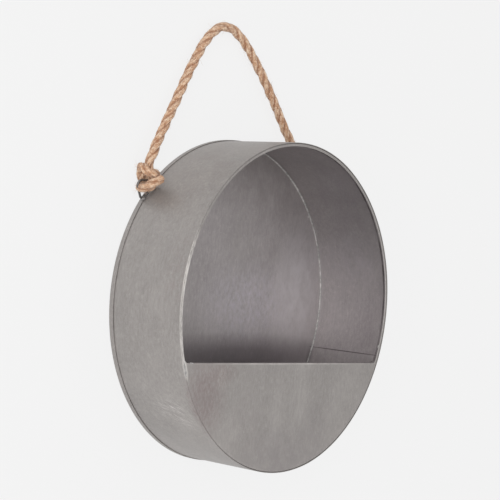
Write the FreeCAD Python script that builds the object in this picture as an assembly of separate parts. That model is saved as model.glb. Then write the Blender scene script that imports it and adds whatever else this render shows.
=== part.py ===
import FreeCAD, Part
import math
import os

# Wall planter: a shallow round drum of zinc-coated sheet that hangs flat against a wall on a rope.
# Its front panel has a D-shaped opening, and the sheet left below it makes a pocket for soil.
# Millimetres. The wall is the plane y = 0, the front looks along -Y, +Z is up, and the origin is
# the centre of the drum's back.

# ---------------------------------------------------------------- driving dimensions
BAND_RADIUS = 180.0        # outside of the round band
DRUM_DEPTH = 100.0         # wall to the face of the front panel
SHEET = 0.8                # thickness of all the sheet
FIT = 0.15                 # clearance between pieces that are soldered together

FLANGE_DEPTH = 6.0         # edge of the back plate, turned up round the outside of the band
BACK_BEND = 1.2            # outside radius of that bend
BAND_STANDOFF = 0.5        # band's rear edge to the inside of the back plate

PANEL_TOP = -60.0          # level of the pocket's straight top edge
LIP_WIDTH = 4.2            # front lip left all round the opening
CORNER_RADIUS = 6.0        # where the straight edge meets the round one
HEM_DEPTH = 3.5            # edge of the opening, turned back into the drum
HEM_EASE = 0.4             # flat taken off the outside of that fold
FRONT_BEND = 1.2           # outside radius of the bend at the panel's rim
FRONT_FLANGE_DEPTH = 6.0   # rim of the front panel, turned back inside the band

SEAM_ANGLE = -16.8         # upper edge of the band's lap seam, in degrees up from level
SEAM_LAP = 20.0            # length of the lap along the band
SEAM_RELIEF = 1.0          # lap's ends to the front flange and to the solder at the back
SOLDER_LEG = 1.6           # fillet of solder in the corner of band and back plate
SOLDER_HOLLOW = 0.6        # its hollow face at the middle, from each of the two sheets

RING_WIRE = 2.6            # thickness of the wire rings that the rope is tied to
RING_ANGLE = 34.5          # place of each ring on the drum's edge, in degrees up from level
RING_SEAT_DEPTH = 5.0      # wall to the middle of the wire where it is soldered on
RING_HEIGHT = 19.8         # foot of the ring to its top bar, along the ring
RING_LEAN = 21.4           # degrees by which it leans out from the wall
FOOT_GAP = 0.25            # wire's foot to the back plate's flange
EDGE_ROOM = 0.2            # more room than that beside the drum's edge, at the ring's top bar
RING_SOLDER = 2.9          # radius of the bead of solder at the foot

ROPE = 10.0                # thickness of the rope
KNOT_ROPE = 9.0            # the same rope pulled tight in the knots
KNOT_ACROSS = 2.5          # middle of each knot, outboard from the ring's foot
KNOT_GAP = 0.7             # rope of the knot to the bar that it goes round
KNOT_ENTRY = 8.0           # free rope runs on this far into the knot, straight
ENTRY_BEND = 8.0           # radius of its bend there

# Rope and wire have flats in place of a round section, so that the model stays light.
ROPE_SIDES = 10
KNOT_SIDES = 8
WIRE_SIDES = 6

# ---------------------------------------------------------------- sizes that follow
BAND_INSIDE = BAND_RADIUS - SHEET
BAND_REAR = SHEET + BAND_STANDOFF
FLANGE_INSIDE = BAND_RADIUS + FIT
FLANGE_RADIUS = FLANGE_INSIDE + SHEET
PANEL_RADIUS = BAND_INSIDE - FIT
OPENING_RADIUS = BAND_RADIUS - LIP_WIDTH
SOLDER_RADIUS = BAND_INSIDE - FIT
FOOT_RADIUS = FLANGE_RADIUS + FOOT_GAP + RING_WIRE / 2
FOOT_ACROSS = FOOT_RADIUS * math.cos(math.radians(RING_ANGLE))
FOOT_UP = FOOT_RADIUS * math.sin(math.radians(RING_ANGLE))
BAR_UP = FOOT_UP + RING_HEIGHT * math.cos(math.radians(RING_LEAN))
RING_INBOARD = FOOT_ACROSS - math.sqrt(FOOT_RADIUS ** 2 - BAR_UP ** 2) - EDGE_ROOM
REACH = (RING_WIRE + KNOT_ROPE) / 2 + KNOT_GAP

# ---------------------------------------------------------------- shapes given by their corners
# Wire of the left ring: (inboard, up along the leaning ring, bend radius) from its foot. The long
# slanting side lies beside the drum's edge and has its slope.
RING_CORNERS = (
    (-1.6, -1.2, 2.5),
    (RING_INBOARD, RING_HEIGHT, 3.0),
    (-13.9, RING_HEIGHT, 4.0),
    (-13.9, RING_HEIGHT - 6.8, 6.0),
)

# Middle of the rope from the left knot, over its hook, to the right knot: (x, y, z).
ROPE_ROUTE = (
    (-153.5, -14.5, 143.0),
    (-142.0, -12.0, 166.0),
    (-118.0, -10.0, 209.5),
    (-97.5, -8.0, 249.0),
    (-72.0, -6.5, 289.5),
    (-45.0, -6.0, 306.0),
    (-16.0, -6.0, 297.0),
    (17.0, -7.5, 266.5),
    (50.0, -9.0, 229.0),
    (77.0, -10.5, 193.5),
    (106.0, -12.0, 168.0),
    (133.0, -14.0, 144.0),
)
RUN_SHARE = 0.45           # part of the shorter run that an arc takes up

# Middle of the rope in a knot: (outboard, forward, up, bend radius) from the middle of the bar,
# where the free rope has run in. It comes down before the bar, goes under it and up behind, then
# loops outboard and across its own front. The last point is the cut end.
KNOT_ROUTE = (
    (0.0, REACH, 4.0, 8.0),
    (0.0, REACH, -REACH, 6.2),
    (0.0, -REACH, -REACH, 6.2),
    (4.0, -REACH, 12.0, 5.2),
    (15.0, -4.5, 12.5, 5.4),
    (13.5, 9.0, 6.5, 7.0),
    (1.0, 17.2, -2.0, 8.0),
    (-6.0, 18.5, 2.5, 0.0),
)

LEFT, RIGHT = -1, 1
ORIGIN = FreeCAD.Vector(0, 0, 0)
TO_WALL = FreeCAD.Vector(0, 1, 0)


# ---------------------------------------------------------------- sheet metal
def turned(outline, sweep=360):
    """Solid swept about the drum's axis by a closed outline of (radius, depth from the wall)."""
    points = [FreeCAD.Vector(radius, -depth, 0) for radius, depth in outline]
    return Part.Face(Part.makePolygon(points + points[:1])).revolve(ORIGIN, TO_WALL, sweep)


def bend(centre, radius, start, end):
    """Corners of a bend in a (radius, depth) outline, between angles in degrees, as two flats."""
    angles = [math.radians(angle) for angle in (start, (start + end) / 2, end)]
    return [(centre[0] + radius * math.cos(a), centre[1] + radius * math.sin(a)) for a in angles]


def hoop(inside, outside, rear, front, sweep=360):
    """Plain hoop, or the part of one that starts at the object's right and runs down."""
    return turned([(inside, rear), (outside, rear), (outside, front), (inside, front)], sweep)


def back_plate():
    """Round plate against the wall, its edge bent forward round the band."""
    centre = (FLANGE_RADIUS - BACK_BEND, BACK_BEND)
    return turned([
        (0, 0), *bend(centre, BACK_BEND, -90, 0), (FLANGE_RADIUS, FLANGE_DEPTH),
        (FLANGE_INSIDE, FLANGE_DEPTH), *bend(centre, BACK_BEND - SHEET, 0, -90), (0, SHEET),
    ])


def rim_band():
    """Band rolled from one strip, its ends lapped on the inside."""
    strip = hoop(BAND_INSIDE, BAND_RADIUS, BAND_REAR, DRUM_DEPTH)
    rear = SHEET + SOLDER_LEG + SEAM_RELIEF
    front = DRUM_DEPTH - FRONT_FLANGE_DEPTH - SEAM_RELIEF
    lap_degrees = math.degrees(SEAM_LAP / BAND_INSIDE)
    lap = hoop(BAND_INSIDE - SHEET, BAND_INSIDE, rear, front, lap_degrees)
    lap.rotate(ORIGIN, TO_WALL, -SEAM_ANGLE)
    return strip.fuse(lap).removeSplitter()


def opening(margin, rear, front):
    """Prism of the D-shaped opening, grown by a margin, between two depths from the wall."""
    radius = OPENING_RADIUS + margin
    corner = CORNER_RADIUS + margin
    centre_z = PANEL_TOP + CORNER_RADIUS
    centre_x = math.sqrt((OPENING_RADIUS - CORNER_RADIUS) ** 2 - centre_z ** 2)
    tangent = math.atan2(centre_z, centre_x)
    middle = (tangent - math.pi / 2) / 2

    def point(x, z):
        return FreeCAD.Vector(x, -front, z)

    def corner_points(side):
        angles = (tangent, middle, -math.pi / 2)
        return [
            point(side * (centre_x + corner * math.cos(a)), centre_z + corner * math.sin(a))
            for a in angles
        ]

    right, left = corner_points(RIGHT), corner_points(LEFT)
    outline = [
        Part.Arc(right[0], point(0, radius), left[0]),
        Part.Arc(*left),
        Part.LineSegment(left[-1], right[-1]),
        Part.Arc(*reversed(right)),
    ]
    wire = Part.Wire([curve.toShape() for curve in outline])
    return Part.Face(wire).extrude(TO_WALL * (front - rear))


def front_panel():
    """Front sheet: rim turned back inside the band, D-shaped opening with its edge turned back."""
    centre = (PANEL_RADIUS - FRONT_BEND, DRUM_DEPTH - FRONT_BEND)
    rim_rear = DRUM_DEPTH - FRONT_FLANGE_DEPTH
    sheet = turned([
        (0, DRUM_DEPTH), *bend(centre, FRONT_BEND, 90, 0), (PANEL_RADIUS, rim_rear),
        (PANEL_RADIUS - SHEET, rim_rear), *bend(centre, FRONT_BEND - SHEET, 0, 90),
        (0, DRUM_DEPTH - SHEET),
    ])
    hem = opening(SHEET, DRUM_DEPTH - HEM_DEPTH, DRUM_DEPTH)
    panel = sheet.fuse(hem).cut(opening(0, 0, DRUM_DEPTH + SHEET)).removeSplitter()
    return panel.makeChamfer(HEM_EASE, hem_edges(panel))


def hem_edges(panel):
    """Edges of the opening on the panel's face."""
    edges = []
    for edge in panel.Edges:
        points = edge.discretize(5)
        on_face = all(abs(p.y + DRUM_DEPTH) < FIT for p in points)
        in_opening = all(math.hypot(p.x, p.z) < OPENING_RADIUS + FIT for p in points)
        if on_face and in_opening:
            edges.append(edge)
    return edges


def back_seam_solder():
    """Hollow fillet of solder that seals the corner between band and back plate."""
    return turned([
        (SOLDER_RADIUS - SOLDER_LEG, SHEET), (SOLDER_RADIUS, SHEET), (SOLDER_RADIUS, SHEET + SOLDER_LEG),
        (SOLDER_RADIUS - SOLDER_HOLLOW, SHEET + SOLDER_HOLLOW),
    ])


# ---------------------------------------------------------------- wire and rope
def corner_arc(before, corner, after, radius):
    """Tangent arc of a radius at a corner between two runs."""
    arriving = (corner - before).normalize()
    leaving = (after - corner).normalize()
    half_turn = arriving.getAngle(leaving) / 2
    inset = (leaving - arriving).normalize() * radius * (1 / math.cos(half_turn) - 1)
    reach = radius * math.tan(half_turn)
    return Part.Arc(corner - arriving * reach, corner + inset, corner + leaving * reach)


def path(points, radii, closed=False):
    """Wire of straight runs joined by tangent arcs. An open path has no radius at its two ends."""
    count = len(points)
    corners = range(count) if closed else range(1, count - 1)
    arcs = [
        corner_arc(points[i - 1], points[i], points[(i + 1) % count], radius)
        for i, radius in zip(corners, radii)
    ]
    edges = []
    here = arcs[-1].EndPoint if closed else points[0]
    for arc in arcs:
        edges += [Part.LineSegment(here, arc.StartPoint).toShape(), arc.toShape()]
        here = arc.EndPoint
    if not closed:
        edges.append(Part.LineSegment(here, points[-1]).toShape())
    return Part.Wire(edges)


def tube(wire, thickness, sides):
    """Solid along a path, with flats round it and the section area of a round bar that thick."""
    first = wire.Edges[0]
    start, end = first.Vertexes[0].Point, first.Vertexes[-1].Point
    along = (end - start).normalize()
    up = along.cross(TO_WALL).normalize()
    out = along.cross(up)
    turn = 2 * math.pi / sides
    radius = thickness / 2 * math.sqrt(turn / math.sin(turn))
    corners = [
        start + up * radius * math.cos(i * turn) + out * radius * math.sin(i * turn)
        for i in range(sides)
    ]
    return wire.makePipeShell([Part.makePolygon(corners + corners[:1])], True, False)


def run_radii(points):
    """Radius of each inner corner: as large as its share of the shorter run beside it allows."""
    radii = []
    for before, corner, after in zip(points, points[1:], points[2:]):
        half_turn = (corner - before).getAngle(after - corner) / 2
        shorter = min((corner - before).Length, (after - corner).Length)
        radii.append(RUN_SHARE * shorter / math.tan(half_turn))
    return radii


def report(name, solid, wire, thickness, radii):
    """Print what a cord measures: its length, its bends, and its volume against section x length."""
    expected = math.pi * (thickness / 2) ** 2 * wire.Length
    print(f"{name}: length {wire.Length:.1f} mm, volume {solid.Volume / expected:.4f} of section x length")
    print(f"{name}: bend radii {[round(radius, 1) for radius in radii]} mm")


def ring_foot(side):
    """Middle of the wire at a ring's foot, on the outside of the back plate's flange."""
    return FreeCAD.Vector(side * FOOT_ACROSS, -RING_SEAT_DEPTH, FOOT_UP)


def ring_point(side, inboard, along):
    """Point in the plane of a leaning ring, from its foot."""
    lean = math.radians(RING_LEAN)
    offset = FreeCAD.Vector(-side * inboard, -along * math.sin(lean), along * math.cos(lean))
    return ring_foot(side) + offset


def rope_ring(side, thickness=RING_WIRE):
    """Closed wire ring that the rope is tied to."""
    points = [ring_point(side, inboard, along) for inboard, along, _ in RING_CORNERS]
    radii = [radius for _, _, radius in RING_CORNERS]
    return tube(path(points, radii, closed=True), thickness, WIRE_SIDES)


def ring_solder(side):
    """Bead of solder round a ring's foot, lying on the flange and along the wire."""
    foot = ring_foot(side)
    outward = FreeCAD.Vector(foot.x, 0, foot.z).normalize()
    bead = Part.makeSphere(RING_SOLDER, foot - outward * RING_WIRE / 2)
    drum = Part.makeCylinder(FLANGE_RADIUS + FIT, DRUM_DEPTH, ORIGIN, -TO_WALL)
    pieces = bead.cut(drum).cut(rope_ring(side, RING_WIRE + 2 * FIT)).Solids
    return max(pieces, key=lambda piece: piece.Volume)


def rope_knot(side, rope_before, rope_end):
    """Rope's end, hitched round the top bar of a ring and round itself."""
    bar = ring_point(side, -KNOT_ACROSS, RING_HEIGHT)
    entry = rope_end + (rope_end - rope_before).normalize() * KNOT_ENTRY
    points = [rope_end, entry]
    for outboard, forward, up, _ in KNOT_ROUTE:
        points.append(bar + FreeCAD.Vector(side * outboard, -forward, up))
    radii = [ENTRY_BEND] + [radius for _, _, _, radius in KNOT_ROUTE[:-1]]
    wire = path(points, radii)
    knot = tube(wire, KNOT_ROPE, KNOT_SIDES)
    report("left knot" if side == LEFT else "right knot", knot, wire, KNOT_ROPE, radii)
    return knot


def hanging_rope(points):
    """Free rope between the two knots."""
    radii = run_radii(points)
    wire = path(points, radii)
    rope = tube(wire, ROPE, ROPE_SIDES)
    report("hanging rope", rope, wire, ROPE, radii)
    return rope


# ---------------------------------------------------------------- pieces
def pieces():
    """Every piece of the planter by name. The rings, their solder and the knots are pairs."""
    route = [FreeCAD.Vector(*point) for point in ROPE_ROUTE]
    knots = [rope_knot(LEFT, route[1], route[0]), rope_knot(RIGHT, route[-2], route[-1])]
    return {
        "back_plate": back_plate(),
        "rim_band": rim_band(),
        "front_panel": front_panel(),
        "back_seam_solder": back_seam_solder(),
        "wire_rings": Part.makeCompound([rope_ring(LEFT), rope_ring(RIGHT)]),
        "ring_solder": Part.makeCompound([ring_solder(LEFT), ring_solder(RIGHT)]),
        "hanging_rope": hanging_rope(route),
        "rope_knots": Part.makeCompound(knots),
    }


def main():
    """Write one file for each piece."""
    os.makedirs("parts", exist_ok=True)
    for name, shape in pieces().items():
        solids = shape.Solids
        sound = all(solid.isValid() and solid.Volume > 0 for solid in solids)
        print(f"{name}: {len(solids)} solid(s), {shape.Volume / 1000:.3f} cm3, sound {sound}")
        shape.exportStep(f"parts/{name}.step")


main()
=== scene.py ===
"""Wall planter: a shallow round zinc drum with a soil pocket, hung on a wall by a knotted jute rope.

Metres, in the frame of the CAD model: the wall is the plane y = 0, the front looks along -Y, +Z is
up, and the origin is the centre of the drum's back.
"""

import logging
import math
from dataclasses import dataclass, field, replace
from enum import Enum
from itertools import accumulate

import bmesh
import bpy
import numpy as np
from mathutils import Matrix, Vector

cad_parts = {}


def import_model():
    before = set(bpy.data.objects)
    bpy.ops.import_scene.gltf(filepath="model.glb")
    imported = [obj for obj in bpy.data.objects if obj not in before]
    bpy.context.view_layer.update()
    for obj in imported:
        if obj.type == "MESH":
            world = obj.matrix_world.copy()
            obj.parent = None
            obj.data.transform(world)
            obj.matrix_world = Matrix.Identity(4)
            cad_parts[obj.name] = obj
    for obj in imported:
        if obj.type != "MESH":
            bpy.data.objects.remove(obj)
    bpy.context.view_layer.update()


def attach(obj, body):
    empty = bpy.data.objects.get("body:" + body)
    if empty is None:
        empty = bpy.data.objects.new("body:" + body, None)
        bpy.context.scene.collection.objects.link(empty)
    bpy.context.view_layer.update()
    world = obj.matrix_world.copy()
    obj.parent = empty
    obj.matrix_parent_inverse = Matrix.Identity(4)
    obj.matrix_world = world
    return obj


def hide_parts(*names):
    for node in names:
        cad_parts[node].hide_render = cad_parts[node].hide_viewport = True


Piece = bpy.types.Object
Material = bpy.types.Material
Socket = bpy.types.NodeSocket
Pair = tuple[float, float]
Triple = tuple[float, float, float]

log = logging.getLogger("planter")

MM = 0.001
FULL_TURN = 2 * math.pi
SAME_PLACE = 1e-7  # points of a mesh or curve that are nearer than this are one
SHARP_ANGLE = 40  # degrees between faces from which their edge is drawn sharp


class Side(Enum):
    """Side of the object, as the sign of its X."""

    LEFT = -1
    RIGHT = 1


class Body(Enum):
    """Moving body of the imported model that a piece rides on."""

    DRUM = "planter"
    LOOP = "hanging_loop"


class Slot(Enum):
    """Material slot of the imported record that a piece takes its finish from."""

    ZINC = "zinc_sheet"
    SOLDER = "solder"
    WIRE = "ring_wire"
    JUTE = "jute"


# ------------------------------------------------------------------------------ surfaces
def surface(name: str, grid: np.ndarray, marks: dict[str, np.ndarray] | None = None) -> Piece:
    """Make a closed mesh of a grid of points.

    Face (i, j) joins the points (i, j), (i, j + 1), (i + 1, j + 1) and (i + 1, j). A seam or a pole
    is written as equal points, and they are merged afterwards.

    Args:
        name: Name of the piece.
        grid: Points, as rows x columns x 3, in metres.
        marks: Pattern coordinates of the same points, each set by name, as rows x columns x 2.

    Returns:
        The new object, at the origin.
    """
    rows, columns = grid.shape[:2]
    index = np.arange(rows * columns).reshape(rows, columns)
    corners = [index[:-1, :-1], index[:-1, 1:], index[1:, 1:], index[1:, :-1]]
    faces = np.stack(corners, axis=-1).reshape(-1, 4)
    flat = {layer: values.reshape(-1, 2) for layer, values in (marks or {}).items()}
    return solid(name, grid.reshape(-1, 3), faces, flat)


def solid(name: str, points: np.ndarray, faces: np.ndarray, marks: dict[str, np.ndarray]) -> Piece:
    """Make a mesh, merge its equal points, turn its faces outwards and put it in the scene.

    Args:
        name: Name of the piece.
        points: Points, as count x 3, in metres.
        faces: Numbers of each face's four points.
        marks: Pattern coordinates of the points, each set by name, as count x 2.

    Returns:
        The new object, at the origin.
    """
    mesh = bpy.data.meshes.new(name)
    mesh.from_pydata(points, [], faces)
    for layer, values in marks.items():
        mesh.uv_layers.new(name=layer).data.foreach_set("uv", values[faces.ravel()].ravel())
    work = bmesh.new()
    work.from_mesh(mesh)
    bmesh.ops.remove_doubles(work, verts=work.verts, dist=SAME_PLACE)
    bmesh.ops.recalc_face_normals(work, faces=work.faces)
    work.to_mesh(mesh)
    work.free()
    mesh.shade_smooth()
    mesh.set_sharp_from_angle(angle=math.radians(SHARP_ANGLE))
    return placed(name, mesh)


def placed(name: str, data: bpy.types.ID) -> Piece:
    """Put an object made of some data in the scene, at the origin."""
    piece = bpy.data.objects.new(name, data)
    bpy.context.scene.collection.objects.link(piece)
    return piece


def joined(name: str, parts: list[Piece]) -> Piece:
    """Make one object of several.

    Args:
        name: Name of the whole.
        parts: Objects at the origin, which are used up.

    Returns:
        The new object, at the origin.
    """
    work = bmesh.new()
    for part in parts:
        work.from_mesh(part.data)
    mesh = bpy.data.meshes.new(name)
    work.to_mesh(mesh)
    work.free()
    for part in parts:
        bpy.data.objects.remove(part)
    return placed(name, mesh)


def dress(piece: Piece, finish: Material, body: Body) -> None:
    """Give a piece its finish and let it ride on its body.

    Args:
        piece: Piece to dress.
        finish: Its material.
        body: Body that it moves with.
    """
    piece.data.materials.clear()
    piece.data.materials.append(finish)
    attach(piece, body.value)
    log.info("%s: %d faces on %s", piece.name, len(piece.data.polygons), body.value)


def arc(centre: Pair, radius: float, start: float, end: float, steps: int = 5) -> np.ndarray:
    """Points of an arc in a plane.

    Args:
        centre: Centre of the arc.
        radius: Its radius.
        start: Angle of its first point, in degrees.
        end: Angle of its last point, in degrees.
        steps: Number of points.

    Returns:
        Points, as steps x 2.
    """
    angles = np.radians(np.linspace(start, end, steps))
    return np.array(centre) + radius * np.column_stack([np.cos(angles), np.sin(angles)])


def run(start: Pair, end: Pair, steps: int) -> np.ndarray:
    """Points spaced evenly from start to end, both of them included, as steps x 2."""
    return np.linspace(start, end, steps)


def smooth_step(value: np.ndarray) -> np.ndarray:
    """Rise smoothly from 0 to 1 as the value does, and stay there outside."""
    held = np.clip(value, 0, 1)
    return held * held * (3 - 2 * held)


def turned(radius: np.ndarray, depth: np.ndarray, angle: np.ndarray) -> np.ndarray:
    """Points at distances from the drum's axis, depths from the wall and angles about the axis."""
    across, up = radius * np.cos(angle), radius * np.sin(angle)
    return np.stack(np.broadcast_arrays(across, -depth, up), axis=-1)


@dataclass(frozen=True)
class Ripple:
    """Gentle unevenness of hand-formed work, as a sum of sine waves with fixed random phases."""

    height: float
    counts: tuple[int, ...]
    seed: int
    wander: float = 1.7

    def at(self, turn: np.ndarray, along: np.ndarray) -> np.ndarray:
        """Height at places given by a closed angle and by a length across it.

        Args:
            turn: Angle, in radians.
            along: Length across, in units of about the size of a dent.

        Returns:
            Height at each place.
        """
        phases = np.random.default_rng(self.seed).uniform(0, FULL_TURN, (len(self.counts), 2))
        waves = [
            np.sin(count * turn + first + self.wander * np.sin(along + second)) / math.sqrt(order + 1)
            for order, (count, (first, second)) in enumerate(zip(self.counts, phases))
        ]
        return self.height * sum(waves) / math.sqrt(len(waves))


def lump(axes: np.ndarray, ripple: Ripple, steps: tuple[int, int]) -> np.ndarray:
    """Points of a ball stretched along three directions, with a wavy radius.

    Args:
        axes: From the middle to the pole, to the side where the turn starts and a quarter turn on.
        ripple: Unevenness of the radius, as a share of it, which dies down at the poles.
        steps: Points from pole to pole and round.

    Returns:
        Grid of points round the middle.
    """
    pole, first, second = axes
    tilt = np.linspace(0, math.pi, steps[0])[:, None, None]
    turn = np.linspace(0, FULL_TURN, steps[1])[None, :, None]
    wavy = 1 + ripple.at(turn, tilt * 2) * np.sin(tilt)
    sideways = np.cos(turn) * first + np.sin(turn) * second
    return wavy * (np.cos(tilt) * pole + np.sin(tilt) * sideways)


# ------------------------------------------------------------------------------ finishes
class Nodes:
    """Short way to lay out the nodes of a material or of a node group."""

    def __init__(self, tree: bpy.types.NodeTree) -> None:
        """Start on an empty tree.

        Args:
            tree: Tree to fill.
        """
        self.tree = tree
        self.tree.nodes.clear()

    def feed(self, node: bpy.types.Node, inputs: dict) -> bpy.types.Node:
        """Set or link a node's inputs.

        Args:
            node: Node to feed.
            inputs: Value or socket for each input's name or number.

        Returns:
            The same node.
        """
        for key, value in inputs.items():
            if isinstance(value, Socket):
                self.tree.links.new(value, node.inputs[key])
            else:
                node.inputs[key].default_value = value
        return node

    def add(self, kind: str, inputs: dict | None = None, **settings) -> bpy.types.Node:
        """Add a node.

        Args:
            kind: Type name of the node, without its ShaderNode.
            inputs: Value or socket to feed for each input's name or number.
            settings: Properties of the node.

        Returns:
            The new node.
        """
        node = self.tree.nodes.new(f"ShaderNode{kind}")
        for name, value in settings.items():
            setattr(node, name, value)
        return self.feed(node, inputs or {})

    def place(self) -> Socket:
        """Object coordinates."""
        return self.add("TexCoord").outputs["Object"]

    def scaled(self, where: Socket, scale: Triple) -> Socket:
        """Coordinates scaled by three factors."""
        return self.add("Mapping", {"Vector": where, "Scale": scale}).outputs["Vector"]

    def framed(self, middle: Triple, along: Triple, reach: Triple) -> Socket:
        """Object coordinates seen from a small frame of their own, in units of its reach.

        The frame's third axis is the depth axis, or as near to it as the first one allows.

        Args:
            middle: Middle of the frame, in metres.
            along: Direction of its first axis.
            reach: Length of the unit on each axis, in metres.

        Returns:
            Socket of the coordinates.
        """
        first = Vector(along).normalized()
        depth = Vector((0, 1, 0)) if abs(first.y) < 0.9 else Vector((0, 0, 1))
        beside = depth.cross(first).normalized()
        turn = Matrix((first, beside, first.cross(beside))).transposed().to_euler()
        inputs = {"Vector": self.place(), "Location": middle, "Rotation": turn, "Scale": reach}
        return self.add("Mapping", inputs, vector_type="TEXTURE").outputs["Vector"]

    def length(self, where: Socket) -> Socket:
        """Length of a vector."""
        return self.add("VectorMath", {0: where}, operation="LENGTH").outputs["Value"]

    def noise(self, where: Socket, scale: float, detail: float, rough: float) -> Socket:
        """Cloudy pattern from 0 to 1.

        Args:
            where: Coordinates to read.
            scale: Clouds per unit of them.
            detail: Number of finer layers.
            rough: Weight of the finer layers.

        Returns:
            Socket of its value.
        """
        inputs = {"Vector": where, "Scale": scale, "Detail": detail, "Roughness": rough}
        return self.add("TexNoise", inputs).outputs["Fac"]

    def remap(
        self, value: Socket, low: float, high: float, to_low: float = 0.0, to_high: float = 1.0
    ) -> Socket:
        """Carry a range of values over to another one, held at its two ends."""
        inputs = {"Value": value, 1: low, 2: high, 3: to_low, 4: to_high}
        return self.add("MapRange", inputs).outputs["Result"]

    def mix(self, share: Socket, first: Socket | tuple, second: Socket | tuple) -> Socket:
        """Colour between two colours, at a share of the second."""
        return self.add("Mix", {0: share, 6: first, 7: second}, data_type="RGBA").outputs[2]

    def maths(self, operation: str, first: Socket | float, second: Socket | float) -> Socket:
        """Result of an operation on two numbers or sockets."""
        return self.add("Math", {0: first, 1: second}, operation=operation).outputs[0]

    def within(self, radii: Pair, depths: Pair) -> Socket:
        """1 between two distances from the drum's axis and two depths from the wall, and else 0.

        Args:
            radii: The two distances, in millimetres.
            depths: The two depths, in millimetres.

        Returns:
            Socket of the value.
        """
        place = self.place()
        radius = self.length(self.scaled(place, (1, 0, 1)))
        depth = self.maths("MULTIPLY", self.add("SeparateXYZ", {0: place}).outputs["Y"], -1.0)
        share = 1.0
        for value, (low, high) in ((radius, radii), (depth, depths)):
            share = self.maths("MULTIPLY", share, self.maths("GREATER_THAN", value, low * MM))
            share = self.maths("MULTIPLY", share, self.maths("LESS_THAN", value, high * MM))
        return share


class Finish(Nodes):
    """Nodes of a new material."""

    def __init__(self, name: str) -> None:
        """Start a material.

        Args:
            name: Name of the material.
        """
        self.material = bpy.data.materials.new(name)
        self.material.use_nodes = True
        super().__init__(self.material.node_tree)

    def shader(self, node: bpy.types.Node) -> Material:
        """Use a shader node as the surface and return the material."""
        self.add("OutputMaterial", {"Surface": node.outputs[0]})
        return self.material

    def effect(self, effect: "Effect", inputs: dict) -> bpy.types.Node:
        """Place a shared effect with values of this material's own."""
        return self.feed(self.add("Group", node_tree=effect.tree), inputs)

    def metal(self, base: Socket, rough: Socket, metallic: Socket | float, relief: dict) -> Material:
        """Use a metal as the surface and return the material.

        Args:
            base: Its colour.
            rough: Its roughness.
            metallic: Share of metal in it.
            relief: Inputs of its bump.

        Returns:
            The material.
        """
        return self.shader(self.add("BsdfPrincipled", {
            "Base Color": base, "Roughness": rough, "Metallic": metallic,
            "Normal": self.add("Bump", relief).outputs[0],
        }))


class Effect(Nodes):
    """Nodes of a group that several finishes share."""

    def __init__(self, name: str, inputs: dict[str, str], outputs: dict[str, str]) -> None:
        """Start a group.

        Args:
            name: Name of the group.
            inputs: Kind of each named input, such as Float.
            outputs: Kind of each named output.
        """
        super().__init__(bpy.data.node_groups.new(name, "ShaderNodeTree"))
        for way, sockets in (("INPUT", inputs), ("OUTPUT", outputs)):
            for socket, kind in sockets.items():
                self.tree.interface.new_socket(name=socket, in_out=way, socket_type=f"NodeSocket{kind}")
        self.given = self.tree.nodes.new("NodeGroupInput").outputs

    def close(self, results: dict[str, Socket]) -> "Effect":
        """Link the results to the group's outputs and return the effect."""
        self.feed(self.tree.nodes.new("NodeGroupOutput"), results)
        return self


def grey(level: float, warmth: float = 0.0) -> tuple[float, float, float, float]:
    """Linear colour of a grey.

    Args:
        level: Brightness as it shows on a screen, from 0 to 255.
        warmth: How far red lies above and blue below it, on the same scale.

    Returns:
        Colour with its alpha.
    """
    return shade(level + warmth, level, level - warmth)


def shade(red: float, green: float, blue: float) -> tuple[float, float, float, float]:
    """Linear colour of a screen colour whose parts go from 0 to 255."""
    parts = np.array([red, green, blue]) / 255
    linear = np.where(parts <= 0.04045, parts / 12.92, ((parts + 0.055) / 1.055) ** 2.4)
    return (*linear.tolist(), 1.0)


@dataclass(frozen=True)
class Weathering:
    """Effect of years outdoors on bare grey metal, shared by sheet, solder and wire.

    The given tone is brightened and darkened by broad clouds, by downward drifts, by fine rub marks
    and by grain, each as its pattern's distance from its middle times its weight, and is brightened
    by sparse flecks. The pattern sizes are in marks per metre, and the level is the tone's own share.
    """

    clouds: float = 9.0
    drifts: float = 34.0
    flecks: float = 190.0
    rubs: float = 420.0
    grain: float = 1300.0
    level: float = 0.98

    def effect(self) -> Effect:
        """Build the group: it puts out the weathered colour, a roughness and a relief."""
        group = Effect(
            "weathering",
            {"Place": "Vector", "Tone": "Color", "Clouding": "Float", "Rubbing": "Float"},
            {"Color": "Color", "Roughness": "Float", "Relief": "Float"},
        )
        place = group.given["Place"]
        clouds = group.noise(place, self.clouds, 6, 0.62)
        drifts = group.noise(group.scaled(place, (1, 1, 0.6)), self.drifts, 6, 0.66)
        rubs = group.noise(group.scaled(place, (1, 1, 0.35)), self.rubs, 3, 0.6)
        grain = group.noise(place, self.grain, 2, 0.6)

        def weighted(pattern: Socket, weight: float) -> Socket:
            """Distance of a pattern from its middle, as a share of a weight."""
            return group.remap(pattern, 0.3, 0.7, -weight, weight)

        cloudy = group.maths("ADD", weighted(clouds, 0.15), weighted(drifts, 0.07))
        rubbed = group.maths("ADD", weighted(rubs, 0.09), weighted(grain, 0.08))
        flecks = group.noise(place, self.flecks, 4, 0.8)
        rubbed = group.maths("ADD", rubbed, group.remap(flecks, 0.54, 0.70, 0.0, 0.16))
        change = group.maths(
            "ADD", group.maths("MULTIPLY", cloudy, group.given["Clouding"]),
            group.maths("MULTIPLY", rubbed, group.given["Rubbing"]),
        )
        factor = group.maths("ADD", change, self.level)
        colour = group.add("VectorMath", {0: group.given["Tone"], "Scale": factor}, operation="SCALE")
        relief = group.maths("ADD", clouds, group.maths("MULTIPLY", grain, 0.12))
        return group.close({
            "Color": colour.outputs["Vector"],
            "Roughness": group.remap(clouds, 0.3, 0.7, 0.38, 0.52),
            "Relief": relief,
        })


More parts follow.
